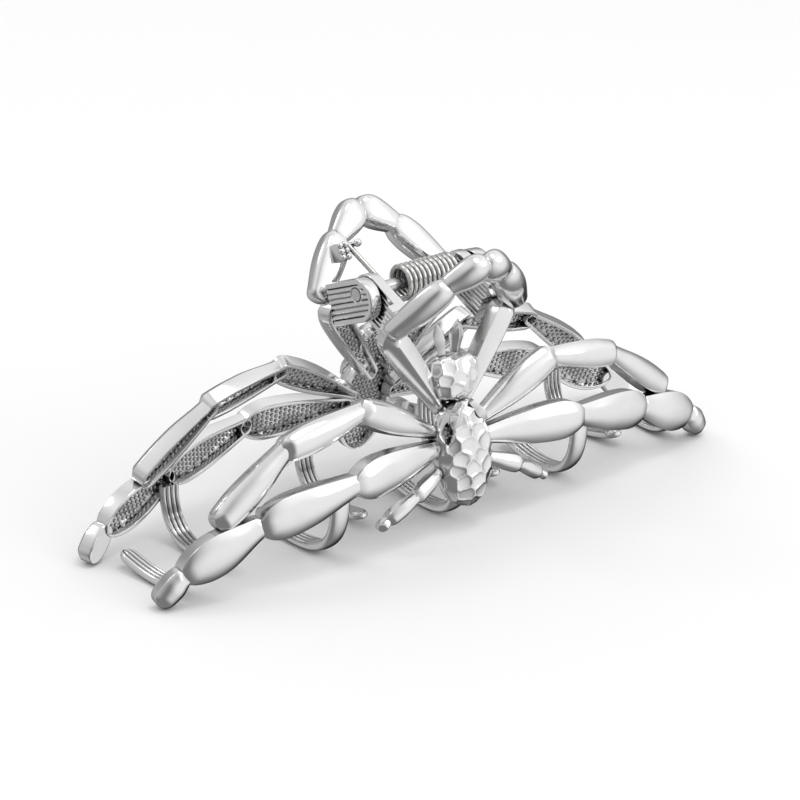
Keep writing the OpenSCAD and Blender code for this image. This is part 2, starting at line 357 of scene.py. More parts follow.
def cap_stations(start, end, tip_a, tip_b):
    """Shares of a segment's length, crowded at its two round ends, with the width share of each end."""
    turns = [math.radians(88) * k / CAP_SECTIONS for k in range(1, CAP_SECTIONS + 1)]
    rows = [(tip_a * (1 - math.sin(a)), math.cos(a), 1.0) for a in reversed(turns)]
    rows += [(mix(tip_a, 1 - tip_b, s), 1.0, 1.0) for s in np.linspace(0, 1, LEG_SECTIONS)]
    rows += [(1 - tip_b * (1 - math.sin(a)), 1.0, math.cos(a)) for a in turns]
    return [(start + (end - start) * s, share_a, share_b) for s, share_a, share_b in rows]


def laid(outline, centre, across, n):
    """A flat outline set in space, across and outwards from a centre."""
    return centre + np.outer(outline[:, 0], across) + np.outer(outline[:, 1], n)


class Limb:
    """A long body from a to b, with its axes and its rows of beads."""

    def __init__(self, a, b, facing):
        self.a, self.b = a, b
        self.along = unit(b - a)
        self.n = upright(facing, self.along)
        self.across = np.cross(self.n, self.along)
        self.length = np.linalg.norm(b - a)

    def laid(self, outline, s):
        """A flat outline set across the body, at a share of its length."""
        return laid(outline, mix(self.a, self.b, s), self.across, self.n)

    def bead_row(self, i, s, half, floor):
        """Places and facings of the beads in row i, where every other row is shifted by half a pitch."""
        row = [(j + 0.5 * (i % 2)) * mm(shape().bead_pitch) for j in range(-BEADS_ASIDE, BEADS_ASIDE + 1)]
        places = self.laid(np.array([(x, floor) for x in row if abs(x) <= half]).reshape(-1, 2), s)
        return [(bead, -self.n) for bead in places]


class Segment(Limb):
    """One teardrop stretch of a leg: thin where it starts, thick where it ends."""
    # How far it reaches back before a and on past b, how blunt its end is, and where it is widest
    start_back, end_past, blunt, fat_at = 0.9, 0.3, 2.2, 0.74
    # How low the crown starts, how pointed its arch is, and how it comes down at the end
    step, arch, soft, round_end, tip = 0.55, 2.1, 0.12, None, None
    # A full, rounded section with this height takes the crown's place
    lobe = None

    def __init__(self, a, b, facing, thin, thick, **more):
        super().__init__(a, b, facing)
        self.thin, self.thick = thin, thick
        self.depth, self.crown = mm(shape().leg_depth), mm(shape().crown)
        self.hollow, self.edge = mm(shape().hollow), mm(shape().edge)
        for name, value in more.items():
            setattr(self, name, value)

    def width(self, s):
        """Half width at a share of the length, before the ends are rounded."""
        grow = math.sin(math.pi / 2 * min(max(s, 0) / self.fat_at, 1)) ** 1.25
        ease = 1 - 0.1 * smooth((s - self.fat_at) / (1 - self.fat_at)) if s > self.fat_at else 1
        return mix(self.thin, self.thick, grow) / 2 * ease

    def rows(self):
        """Share of the length, half width, crown's drop, distance to the end and from the start, and round
        end's length, at each section."""
        start, end = -self.start_back / self.length, 1 + self.end_past / self.length
        span = end - start
        tip_a = min(0.2, self.thin * 0.35 / self.length / span)
        tip_b = self.tip or min(0.35, self.thick * 0.5 / self.length / span)
        made = []
        for s, share_a, share_b in cap_stations(start, end, tip_a, tip_b):
            share_a = (1 - (1 - share_a ** 2) ** 1.2) ** (1 / 2.4)
            share_b = (1 - (1 - share_b ** 2) ** (self.blunt / 2)) ** (1 / self.blunt)
            drop = self.step * (1 - smooth(s / 0.5))
            made.append((s, self.width(s) * share_a * share_b, drop, (end - s) * self.length,
                         (s - start) * self.length, tip_b * span * self.length))
        return made

    def section(self, row):
        s, half, drop, left, gone, tip = row
        if self.lobe is not None:
            middle = (self.lobe - self.depth) / 2 - 0.3 * drop
            tall = (self.lobe + self.depth) / 2 * (0.12 + 0.88 * half / (self.thick / 2))
            return lobe_section(half, middle + tall, middle - tall)
        height = self.crown * min(1, 0.35 + 0.65 * half / (self.thick / 2))
        wide = self.width(s)

        def dome(a):
            arch = height * (1 - abs(a) ** self.arch)
            inset = tip * (1 - max(0.0, 1 - abs(a * half / wide) ** self.blunt) ** (1 / self.blunt))
            reach = max(left - inset, 0.0)
            fade = 0.75 * reach
            if self.round_end:
                fade = height * (1 - max(0.0, 1 - reach / self.round_end) ** 2)
            start = 0.9 * max(gone, 0.0)
            return max(0.0, soft_min(soft_min(arch, fade, self.soft), start, 0.1))

        rim = mm(shape().rim)
        pit = self.hollow * smooth((half - rim * 1.15) / (rim * 0.8))
        return leg_section(half, -self.crown - drop, dome, self.depth, rim, pit, self.edge)

    def part(self):
        return skin([self.laid(self.section(row), row[0]) for row in self.rows()])

    def beads(self):
        """Places and facings of the beads in the hollow back, in straight rows along the leg."""
        if self.hollow <= 0:
            return []
        pitch, rim, radius = mm(shape().bead_pitch), mm(shape().rim), mm(shape().bead)
        clear = radius * 1.2
        shares, halves = np.array([row[:2] for row in self.rows()]).T
        made = []
        for i in range(int(self.length / pitch) + 3):
            s = (i - 1) * pitch / self.length
            half = np.interp(s, shares, halves) * LEG_FOOT - rim - clear
            pit = self.hollow * smooth((half + clear - rim * 0.15) / (rim * 0.8))
            if s >= 0.02 and half >= 0 and pit >= 2 * radius:
                made += self.bead_row(i, s, half, pit - self.depth)
        return made


def main_segments():
    # Thin width, thick width, where it is widest, and the round end's share of the length
    widths = [(2.8, 6.7, 0.74, 0.24), (3.6, 6.8, 0.7, 0.26), (3.8, 7.0, 0.6, 0.4)]
    made = [Segment(MAIN[i], MAIN[i + 1], MAIN_FACING, thin, thick, round_end=2.5, fat_at=fat, tip=tip)
            for i, (thin, thick, fat, tip) in enumerate(widths)]
    made.append(Segment(MAIN[3], MAIN[4], FOOT_FACING, 3.4, 4.2, hollow=0, fat_at=0.5, step=0.25, crown=1.2,
                        depth=3.5, end_past=0.75, start_back=0.6, round_end=2.0, edge=0.55))
    return made


def upper_segments():
    # Thin width, thick width, and how far the end reaches past its joint
    widths = [(1.9, 4.9, 0.8), (3.0, 4.9, 1.0), (2.8, 4.7, 1.2)]
    return [Segment(UPPER[i], UPPER[i + 1], UPPER_FACING, thin, thick, blunt=2.5, soft=0.06, end_past=past)
            for i, (thin, thick, past) in enumerate(widths)]


def short_segments():
    tip = SHORT[2] + unit(SHORT[2] - SHORT[1]) * 0.9
    more = dict(depth=2.2, crown=0.9, hollow=0, step=0.3, start_back=0.5, soft=0.1)
    return [Segment(SHORT[0], SHORT[1], OUTWARDS, 1.9, 3, **more),
            Segment(SHORT[1], mix(SHORT[1], SHORT[2], 0.84), OUTWARDS, 1.8, 2.7, **more),
            Segment(mix(SHORT[1], SHORT[2], 0.8), tip, OUTWARDS, 1.5, 1.8, **dict(more, depth=2, end_past=0))]


def lower_handle_segments():
    return [Segment(NECK, KNEE, LOWER_HANDLE_FACING, 2.9, 4.9, hollow=0.8, fat_at=0.8, step=0.2, soft=0.1,
                    arch=1.25, crown=1.5)]


def upper_handle_segments():
    more = dict(depth=2.85, hollow=0, lobe=1.5, fat_at=0.66)
    return [Segment(KNEE + KNEE_STEP, BEND, UPPER_HANDLE_FACING, 3.9, 5.5, end_past=0.9, **more),
            Segment(BEND, APEX, UPPER_HANDLE_FACING, 3.7, 5.4, end_past=0.6, **more)]


# ---- bodies

class Sink(NamedTuple):
    """A leaf-shaped hollow sunk in a dome: its place, half width, half length and depth."""
    share: float
    angle: float
    wide: float
    long: float
    deep: float


class Egg(Limb):
    """A domed body: smooth rim and hollow at the back, hammered facets on the dome."""

    def __init__(self, top, bottom, width, depth, fat_at, facet, sinks):
        super().__init__(top, bottom, OUTWARDS)
        self.width, self.depth, self.fat_at, self.facet, self.sinks = width, depth, fat_at, facet, sinks
        self.centres = self.facet_centres()

    def sizes(self, s):
        """Half width and depth at a share of the length; the top is squarer than the tail."""
        above = s < self.fat_at
        u = (self.fat_at - s) / self.fat_at if above else (s - self.fat_at) / (1 - self.fat_at)
        half = self.width / 2 * max(0.0, 1 - u ** (3.0 if above else 2.1)) ** 0.5
        deep = self.depth * (0.45 + 0.55 * max(0.0, 1 - u * u) ** 0.5)
        return half, deep

    def dome(self, s, angle):
        half, deep = self.sizes(s)
        rise = deep * 0.75 * (math.sin(angle) - 1) - (self.depth - deep)
        return mix(self.a, self.b, s) + self.across * half * math.cos(angle) + self.n * rise

    def facing(self, s, angle):
        """The way the dome faces at a point, leaving out its slope along the body."""
        half, deep = self.sizes(s)
        return unit(self.across * math.cos(angle) * deep * 0.75 + self.n * (math.sin(angle) * half + 1e-6))

    def facet_centres(self):
        """Rows of centres round the dome, each strayed a little from its place by a sine."""
        rows = max(3, round(self.length / (self.facet * 0.87)))
        made = []
        for k in range(rows + 1):
            half, deep = self.sizes(0.03 + 0.94 * k / rows)
            arc = math.pi * (half + deep * 0.75) / 2
            count = max(1, round(arc / self.facet))
            shift = 0.25 if k % 2 else -0.25
            for j in range(-1, count + 2):
                stray = 0.16 * math.sin(7.3 * j + 4.1 * k)
                s = 0.03 + 0.94 * (k + 0.12 * math.sin(5.7 * j + 2.3 * k)) / rows
                made.append(self.dome(min(max(s, 0.01), 0.99), math.pi * (j + 0.5 + shift + stray) / count))
        return np.array(made)

    def hammered(self, dome, angles):
        """How far each point of a dome's section stands out: dished facets, thin ridges and sunk leaves."""
        dish, ridge = shape().facet_dish, mm(shape().ridge)
        gaps = np.sort(np.linalg.norm(dome[:, None] - self.centres[None], axis=2), axis=1)
        rise = np.minimum(0, dish * (gaps[:, 0] ** 2 - (0.56 * self.facet) ** 2))
        rise = rise + ridge * np.exp(-((gaps[:, 1] - gaps[:, 0]) / 0.3) ** 2)
        rise = rise * smooth(np.sin(angles) * 9)
        for sink in self.sinks:
            sideways = unit(np.cross(self.facing(sink.share, sink.angle), self.along))
            away = dome - self.dome(sink.share, sink.angle)
            reach = np.abs(away @ sideways / sink.wide) + (away @ self.along / sink.long) ** 2
            rise = rise - sink.deep * smooth((1 - reach) / 0.45)
        return rise

    def pit(self, half):
        return mm(shape().hollow) * smooth((half - 1) / 1.2)

    def part(self):
        edge, rim = mm(shape().edge), mm(shape().rim)
        angles = np.linspace(0, math.pi, int(self.width / 0.11))
        rings = []
        for turn in np.linspace(0, math.pi, int(self.length / 0.16) + 1):
            s = 0.5 - 0.497 * math.cos(turn)
            half = self.sizes(s)[0]
            dome = np.array([self.dome(s, a) for a in angles])
            dome = dome + self.hammered(dome, angles)[:, None] * np.array([self.facing(s, a) for a in angles])
            foot = half * 0.97
            inner = max(foot - rim, foot * 0.3)
            low, floor = -self.depth, self.pit(half) - self.depth
            back = [(-foot, low), (-foot + edge, low), (-inner, low), (-inner * 0.94, floor)]
            back += [(x, floor) for x in np.linspace(-inner * 0.9, inner * 0.9, 7)]
            back += [(inner * 0.94, floor), (inner, low), (foot - edge, low), (foot, low)]
            rings.append(np.concatenate([dome, self.laid(np.array(back), s)]))
        return skin(rings)

    def beads(self):
        """Places and facings of the beads in the hollow back."""
        pitch, rim, radius = mm(shape().bead_pitch), mm(shape().rim), mm(shape().bead)
        made = []
        for i in range(int(self.length / pitch + 0.5)):
            s = (i + 0.5) * pitch / self.length
            half = self.sizes(s)[0]
            made += self.bead_row(i, s, half * 0.93 - rim - radius, self.pit(half) - self.depth)
        return made


def abdomen():
    sinks = [Sink(0.26, math.radians(angle), 1.35, 1.9, 1.8) for angle in (33, 147)]
    return Egg(*ABDOMEN, 11.1, 4.6, 0.52, mm(shape().facet), sinks)


def head():
    return Egg(*HEAD, 10.5, 4.1, 0.45, mm(shape().facet) * 0.86, [Sink(0.9, math.pi / 2, 1.7, 0.75, 0.5)])


def leaf(foot, tip, facing, width, thickness, widest, foot_share):
    """A slim leaf with four faces and crisp edges. foot_share is its width at the foot, of the full width."""
    t = unit(tip - foot)
    n = upright(facing, t)
    across = np.cross(n, t)
    half, thick = width / 2, thickness / 2
    corners = np.array([(half, 0), (0, thick), (-half, 0), (0, -thick)])
    rings = []
    for s in np.linspace(-0.12, 1, 18):
        if s < widest:
            grow = mix(foot_share, 1, smooth(s / widest))
        else:
            grow = 1 - 0.9 * ((s - widest) / (1 - widest)) ** 1.7
        points = rounded(corners * grow, {0, 1, 2, 3}, 0.06)
        rings.append(laid(points, mix(foot, tip, s), across, n))
    return skin(rings)


def fang():
    foot = HEAD[0] + np.array([1.5, 2.7, -0.3])
    tip = foot + np.array([0.75, 0.6, 4.7])
    facing = np.array([-0.25, -1.0, 0.0])
    return leaf(foot, tip, facing, width=2.8, thickness=2.3, widest=0.45, foot_share=0.7)


def neck_petal():
    """The small leaf between an abdomen's shoulder and the handle's foot."""
    body = abdomen()
    facing = body.facing(0.12, math.radians(48))
    foot, tip = (body.dome(s, math.radians(a)) + 0.25 * facing for s, a in ((0.03, 58), (0.21, 43)))
    return leaf(foot, tip, facing, width=2.3, thickness=2.3, widest=0.5, foot_share=0.6)


# ---- teeth

# How far a tooth reaches past the middle plane, how high its tip rises and how far its tip leans sideways
TOOTH_REACH, TOOTH_RISE, TOOTH_LEAN = 6.0, 1.7, 1.2
TOOTH_PITCH = 26.0
# The share of a tooth's length where its round tip starts
TOOTH_TIP = 0.93


def bezier(p, s):
    return (1 - s) ** 3 * p[0] + 3 * s * (1 - s) ** 2 * p[1] + 3 * s * s * (1 - s) * p[2] + s ** 3 * p[3]


def tooth_path(root, bulge):
    """The arc bulges out below its root, runs along the ground and rises at the tip."""
    low = mm(shape().tooth_thickness) / 2
    tip_z = low + TOOTH_RISE
    lift = 2 - 1.6 * bulge
    # The lowest inner points that keep the arc above the ground all along
    s = np.arange(0.3, 0.91, 0.05)
    others = (1 - s) ** 3 * root[2] + 3 * s * (1 - s) ** 2 * lift + s ** 3 * tip_z
    dip = max((low - others) / (3 * s * (1 - s)))
    lean = TOOTH_LEAN if root[0] > 0 else 0
    return [root, np.array([root[0], root[1] - bulge, dip + lift]), np.array([root[0], root[1] * 0.4, dip]),
            np.array([root[0] + lean, TOOTH_REACH, tip_z])]


def tooth(root, bulge):
    """A curved bar, smooth and round outside, ribbed along its hollow inner side, with a round tip."""
    path = tooth_path(root, bulge)
    half, thick = mm(shape().tooth_width) / 2, mm(shape().tooth_thickness)
    tip_length = 1 - TOOTH_TIP
    shares = [*np.linspace(0, TOOTH_TIP, 34),
              *(TOOTH_TIP + tip_length * np.sin(np.radians(np.linspace(8, 86, 9))))]
    rings = []
    for s in shares:
        t = unit(bezier(path, s + 0.01) - bezier(path, s - 0.01))
        n = upright(np.array([0, -0.2, -1.0]), t)
        across = np.cross(n, t)
        end = max(0.02, 1 - max(0.0, (s - TOOTH_TIP) / tip_length) ** 2) ** 0.5
        w = half * (1 - 0.08 * s) * end
        h = thick / 2 * (0.35 + 0.65 * end)
        outer = [(w * math.cos(a), h * math.sin(a) ** 0.8) for a in np.linspace(0, math.pi, 15)]
        inner = []
        for x in np.linspace(-1, 1, 61)[1:-1]:
            rib = 0.5 * end * (1 - abs(math.sin(x * 2 * math.pi))) ** 1.4 * (1 - x ** 6)
            inner.append((w * x, -h * 0.8 * (1 - abs(x) ** 5) ** 0.5 + rib))
        rings.append(laid(np.array(outer + inner), bezier(path, s), across, n))
    return skin(rings)


def tooth_root(x, out, z):
    """A root whose place along the clip follows the teeth's pitch, not the clip's length."""
    return np.array([x, *place(0, out, z)[1:]])


def teeth():
    """Every tooth of each jaw: its kind, root and bulge, for the right side or the middle."""
    return {
        "front": [("tooth_centre", tooth_root(0, 12.3, 7.8), 1.5),
                  ("tooth_inner", tooth_root(TOOTH_PITCH, 13, 12.2), 1.5),
                  ("tooth_outer", tooth_root(2 * TOOTH_PITCH + 1, 9, 4.7), 0.0)],
        "back": [("tooth_inner", tooth_root(TOOTH_PITCH / 2 + 0.5, 11.4, 11.7), 1.5),
                 ("tooth_outer", tooth_root(1.5 * TOOTH_PITCH + 3, 10.5, 9.2), 0.0)],
    }


# ---- hinge

# The gap between two ears, and how far up the inner ear its wide foot reaches
EAR_GAP, EAR_FOOT = 0.5, 1.6
# Half an ear's height, how far its middle lies below the pin, its smooth rim and its round edge
EAR_HALF_HEIGHT, EAR_DROP, EAR_RIM, EAR_EDGE = 3.55, 1.05, 0.75, 0.22
# The radius and depth of the dimple round the pin's end
DIMPLE, DIMPLE_DEPTH = 1.13, 0.3
EAR_ROWS, EAR_COLUMNS = 120, 90
# How far from the knee's middle an ear ends
KNEE_CLEARANCE = 3.5


def ear_faces(index):
    """The two faces of an ear and the wall round them, from the number of each point."""
    faces = []
    for i in range(EAR_ROWS):
        for j in range(EAR_COLUMNS):
            low, high = ([index[side, i, j], index[side, i + 1, j], index[side, i + 1, j + 1],
                          index[side, i, j + 1]] for side in (0, 1))
            faces += [(low[0], low[3], low[2], low[1]), tuple(high)]
    border = [(i, 0) for i in range(EAR_ROWS)] + [(EAR_ROWS, j) for j in range(EAR_COLUMNS)]
    border += [(i, EAR_COLUMNS) for i in range(EAR_ROWS, 0, -1)] + [(0, j) for j in range(EAR_COLUMNS, 0, -1)]
    for here, after in zip(border, border[1:] + border[:1]):
        faces.append((index[0, *here], index[0, *after], index[1, *after], index[1, *here]))
    return faces


def ear(low_x, high_x, foot_x):
    """A plate round the pin, with a smooth rim, grooves on both faces and a dimple round the pin's end.
    Its foot widens to foot_x, to reach under the knee."""
    run = math.hypot(KNEE[1], KNEE[2] - HINGE_Z) - KNEE_CLEARANCE
    pitch, deep = mm(shape().groove_pitch), mm(shape().groove_depth)
    verts, index = [], {}
    for side in (0, 1):
        for i, row in enumerate(np.linspace(-math.pi / 2, math.pi / 2, EAR_ROWS + 1)):
            v = EAR_HALF_HEIGHT * math.sin(row)
            reach = math.sqrt(max(0.0, EAR_HALF_HEIGHT ** 2 - v ** 2))
            for j, share in enumerate(np.linspace(0, 1, EAR_COLUMNS + 1)):
                u = mix(-run, reach, share)
                to_rim = min(EAR_HALF_HEIGHT - abs(v), EAR_HALF_HEIGHT - math.hypot(max(u, 0), v))
                past_dimple = math.hypot(u, v - EAR_DROP) - DIMPLE
                groove = deep * (1 - abs(math.sin(math.pi * v / pitch))) ** 1.6
                groove *= smooth((to_rim - EAR_RIM) / 0.2) * smooth((past_dimple - 0.25) / 0.2)
                ring = DIMPLE_DEPTH * (1 - smooth(past_dimple / 0.1))
                edge = EAR_EDGE * (1 - math.sqrt(max(0.0, 1 - (1 - min(to_rim / EAR_EDGE, 1)) ** 2)))
                sink = groove + ring + edge
                outer_x = mix(high_x, foot_x, smooth((EAR_FOOT - run - u) / 0.25))
                index[side, i, j] = len(verts)
                verts.append((outer_x - sink if side else low_x + sink, u, v - EAR_DROP))
    tilt = math.atan2(HINGE_Z - KNEE[2], -KNEE[1])
    turned = np.array(verts) @ turn_x(tilt).T + np.array([0, 0, HINGE_Z])
    return turned, outward(turned, ear_faces(index))


def turn_x(angle):
    """The matrix of a turn about the clip's length."""
    c, s = math.cos(angle), math.sin(angle)
    return np.array([[1, 0, 0], [0, c, -s], [0, s, c]])


# The spring's seat: a block that is sunk into the handle by its root, with pebbles on its top
LUG_WIDTH, LUG_LENGTH, LUG_HEIGHT, LUG_ROOT, LUG_CORNER = 2.4, 3.0, 1.7, 0.4, 0.35
LUG_STANDOFF, LUG_TILT = 2.9, math.radians(-60)
PEBBLE = 0.58
# The ball hook: the radii of its ball and post, its height, and its place along the block
HOOK_BALL, HOOK_POST, HOOK_HEIGHT, HOOK_Y = 0.7, 0.45, 1.5, -0.8
# The free space on each side of a spring arm
ARM_PLAY = 0.2


def round_solid(x, y, profile):
    """A round solid about an upright line, from its heights and radii."""
    return skin([np.array([(x + r * math.cos(b), y + r * math.sin(b), z) for b in circle(16)])
                 for z, r in profile])


def ball(x, y, z, radius):
    return round_solid(x, y, [(z + radius * math.sin(a), radius * math.cos(a))
                              for a in np.radians(np.linspace(-88, 88, 10))])


def spring_seat(arm_x):
    """A block with a pebbled top on the inner face of a handle, and the ball hook beside it."""
    half, half_long = LUG_WIDTH / 2, LUG_LENGTH / 2
    wire = mm(shape().wire)
    outline = rounded([(half, half_long), (-half, half_long), (-half, -half_long), (half, -half_long)],
                      {0, 1, 2, 3}, LUG_CORNER)
    # Heights up the block, with its share of the full outline at each
    levels = ((-LUG_ROOT, 1.06), (0.3, 1.0), (LUG_HEIGHT - 0.35, 0.98), (LUG_HEIGHT - 0.1, 0.93),
              (LUG_HEIGHT, 0.8))
    block = skin([np.column_stack([outline * share, np.full(len(outline), z)]) for z, share in levels])
    pebbles = [ball(x, y, LUG_HEIGHT - 0.05, PEBBLE + 0.05 * math.sin(5 * x + 3 * y))
               for x in (-0.52, 0.52) for y in (-1.0, 0.0, 1.0)]
    hook_x = -(half + HOOK_BALL) - wire - 2 * ARM_PLAY
    post = round_solid(hook_x, HOOK_Y, ((-LUG_ROOT, HOOK_POST), (HOOK_HEIGHT, HOOK_POST * 0.85)))
    parts = [block, *pebbles, post, ball(hook_x, HOOK_Y, HOOK_HEIGHT, HOOK_BALL)]
    lug_x = arm_x + wire / 2 + ARM_PLAY + half
    share = (KNEE[0] - lug_x) / (KNEE[0] - BEND[0])
    inwards = upright(-UPPER_HANDLE_FACING, unit(BEND - KNEE))
    where = mix(KNEE, BEND, share) + inwards * LUG_STANDOFF
    turn = turn_x(LUG_TILT)
    return [(v @ turn.T + where, f) for v, f in parts]


# ---- nodes

def add(tree, kind, inputs=None, **settings):
    """A new node with its settings. Each input is given a value, or a socket to be fed from."""
    node = tree.nodes.new(kind)
    for name, value in settings.items():
        setattr(node, name, value)
    for name, value in (inputs or {}).items():
        if isinstance(value, bpy.types.NodeSocket):
            tree.links.new(value, node.inputs[name])
        else:
            node.inputs[name].default_value = value
    return node


def feed(tree, node, inputs):
    for name, socket in inputs.items():
        tree.links.new(socket, node.inputs[name])


def node_group(name, kind, inputs, outputs):
    """A node tree with named sockets, and its input and output nodes."""
    tree = bpy.data.node_groups.new(name, kind)
    for direction, sockets in (("INPUT", inputs), ("OUTPUT", outputs)):
        for label, socket_type, *value in sockets:
            socket = tree.interface.new_socket(name=label, in_out=direction, socket_type=socket_type)
            if value:
                socket.default_value = value[0]
    return tree, tree.nodes.new("NodeGroupInput"), tree.nodes.new("NodeGroupOutput")


# ---- materials

COLOR, FLOAT = "NodeSocketColor", "NodeSocketFloat"


def polish_and_shade_group():
    """Polish by hand on plated metal: its colour, cloudiness and faint wiping marks, with painted shade that
    darkens its crevices.
    """
    group, inside, out = node_group(
        "Polish and painted shade", "ShaderNodeTree",
        [("Plating", COLOR, (0.9, 0.9, 0.9, 1)), ("Cloud", COLOR, (0.8, 0.8, 0.8, 1)),
         ("Roughness", FLOAT, 0.13), ("Marks", FLOAT, 0.05), ("Scale", FLOAT, 300.0),
         ("Crevice", FLOAT, 0.12), ("Crevice Reach", FLOAT, 0.0011)],
        [("Color", COLOR), ("Roughness", FLOAT), ("Height", FLOAT)])
    given = inside.outputs
    where = add(group, "ShaderNodeTexCoord").outputs["Object"]
    cloud = add(group, "ShaderNodeTexNoise", {"Detail": 4, "Vector": where, "Scale": given["Scale"]})
    fine_scale = add(group, "ShaderNodeMath", {0: given["Scale"], 1: 9}, operation="MULTIPLY")
    fine = add(group, "ShaderNodeTexNoise", {"Detail": 3, "Vector": where, "Scale": fine_scale.outputs[0]})
    ramp = add(group, "ShaderNodeMapRange",
               {"Value": cloud.outputs["Fac"], "From Min": 0.42, "From Max": 0.72, "To Max": 0.6})
    blend = add(group, "ShaderNodeMix",
                {"Factor": ramp.outputs["Result"], "A": given["Plating"], "B": given["Cloud"]},
                data_type="RGBA")
    # Painted shade: an Ambient Occlusion lookup darkens the colour in crevices and where parts meet.
    corner = add(group, "ShaderNodeAmbientOcclusion", {"Distance": given["Crevice Reach"]}, samples=6)
    shade = add(group, "ShaderNodeMapRange",
                {"Value": corner.outputs["AO"], "From Min": 0.2, "From Max": 0.85,
                 "To Min": given["Crevice"]}, interpolation_type="SMOOTHSTEP")
    dim = add(group, "ShaderNodeMix",
              {"Factor": 1, "A": blend.outputs["Result"], "B": shade.outputs["Result"]},
              data_type="RGBA", blend_type="MULTIPLY")
    wiped = add(group, "ShaderNodeMath",
                {0: fine.outputs["Fac"], 1: given["Marks"], 2: given["Roughness"]}, operation="MULTIPLY_ADD")
    feed(group, out, {"Color": dim.outputs["Result"], "Roughness": wiped.outputs[0],
                      "Height": fine.outputs["Fac"]})
    return group


def metal(name, color, cloud, roughness, marks, bump, scale, polish):
    """A metal: the group of hand polish and painted crevice shade with its own values, into a Principled
    shader and a fine bump.
    """
    material = bpy.data.materials.new(name)
    material.use_nodes = True
    tree = material.node_tree
    shader = tree.nodes["Principled BSDF"]
    shader.inputs["Metallic"].default_value = 1.0
    group = add(tree, "ShaderNodeGroup", {"Plating": (*color, 1), "Cloud": (*cloud, 1), "Scale": scale,
                                          "Roughness": roughness, "Marks": marks}, node_tree=polish)
    relief = add(tree, "ShaderNodeBump",
                 {"Strength": bump, "Distance": 0.02 * MM, "Height": group.outputs["Height"]})
    feed(tree, shader, {"Base Color": group.outputs["Color"], "Roughness": group.outputs["Roughness"],
                        "Normal": relief.outputs["Normal"]})
    return material


MATERIALS = {}


def material(name):
    """The named finish, made on first use."""
    if not MATERIALS:
        finish = bpy.context.scene.claw_finish
        # Every metal below shares this group, and with it the painted shade in the crevices.
        polish, gloss = polish_and_shade_group(), finish.gloss
        plating, wire = tuple(finish.plating), tuple(finish.wire)
        dull, dull_wire = tuple(0.93 * c for c in plating), tuple(0.85 * c for c in wire)
        MATERIALS.update({
            "plating": metal("Polished plating", plating, dull, gloss, 0.05, 0.12, 260, polish),
            # The beads take the darker recess colour, painted shade for their place deep in the hollow backs.
            "beads": metal("Beaded plating", tuple(finish.recess_shade), dull, gloss + 0.1, 0.1, 0.3, 500, polish),
            "pin": metal("Pin steel", tuple(finish.pin), dull, gloss + 0.08, 0.1, 0.2, 400, polish),
            "wire": metal("Drawn spring wire", wire, dull_wire, gloss + 0.05, 0.1, 0.3, 700, polish),
        })
    return MATERIALS[name]


# ---- geometry nodes

def geometry_tree(name, inputs):
    geometry, finish = ("Geometry", "NodeSocketGeometry"), ("Finish", "NodeSocketMaterial")
    return node_group(name, "GeometryNodeTree", [geometry, *inputs, finish], [geometry])


def finish_tree(tree, geometry, inside, out):
    """Ends a tree: real geometry, smooth shading and its finish."""
    real = add(tree, "GeometryNodeRealizeInstances", {"Geometry": geometry})
    even = add(tree, "GeometryNodeSetShadeSmooth", {"Geometry": real.outputs["Geometry"]})
    finish = add(tree, "GeometryNodeSetMaterial",
                 {"Geometry": even.outputs["Geometry"], "Material": inside.outputs["Finish"]})
    feed(tree, out, {"Geometry": finish.outputs["Geometry"]})
    return tree


def bead_tree():
    """A round bead on every point of the seed mesh, turned to the point's facing."""
    tree, inside, out = geometry_tree("Beads on points", [("Bead Radius", FLOAT), ("Flatness", FLOAT)])
    bead = add(tree, "GeometryNodeMeshUVSphere",
               {"Segments": 8, "Rings": 5, "Radius": inside.outputs["Bead Radius"]})
    facing = add(tree, "GeometryNodeInputNamedAttribute", {"Name": "facing"}, data_type="FLOAT_VECTOR")
    turn = add(tree, "FunctionNodeAlignRotationToVector", {"Vector": facing.outputs["Attribute"]}, axis="Z")
    squash = add(tree, "ShaderNodeCombineXYZ", {"X": 1, "Y": 1, "Z": inside.outputs["Flatness"]})
    points = add(tree, "GeometryNodeMeshToPoints", {"Mesh": inside.outputs["Geometry"]})
    spread = add(tree, "GeometryNodeInstanceOnPoints",
                 {"Points": points.outputs["Points"], "Instance": bead.outputs["Mesh"],
                  "Rotation": turn.outputs["Rotation"], "Scale": squash.outputs["Vector"]})
    return finish_tree(tree, spread.outputs["Instances"], inside, out)


def wire_tree():
    """A round wire along the edges of the seed mesh."""
    tree, inside, out = geometry_tree("Wire along a path", [("Wire Radius", FLOAT)])
    line = add(tree, "GeometryNodeMeshToCurve", {"Mesh": inside.outputs["Geometry"]})
    outline = add(tree, "GeometryNodeCurvePrimitiveCircle",
                  {"Resolution": 16, "Radius": inside.outputs["Wire Radius"]})
    sweep = add(tree, "GeometryNodeCurveToMesh", {"Curve": line.outputs["Curve"], "Fill Caps": True,
                                                  "Profile Curve": outline.outputs["Curve"]})
    return finish_tree(tree, sweep.outputs["Mesh"], inside, out)


def grown(name, seed_mesh, tree, values):
    """An object of the plain mesh that a tree makes from a seed mesh."""
    seed = add_object(name + "_seed", seed_mesh)
    modifier = seed.modifiers.new("Grow", "NODES")
    modifier.node_group = tree
    for socket in tree.interface.items_tree:
        if socket.in_out == "INPUT" and socket.name in values:
            modifier[socket.identifier] = values[socket.name]
    bpy.context.view_layer.update()
    mesh = bpy.data.meshes.new_from_object(seed.evaluated_get(bpy.context.evaluated_depsgraph_get()))
    bpy.data.objects.remove(seed)
    mesh.name = name
    return add_object(name, mesh)


# ---- operators

# Where the camera aims: along the clip, outwards and up from the hinge's middle (mm)
AIM = (-6.7, 4.5, -18.3)
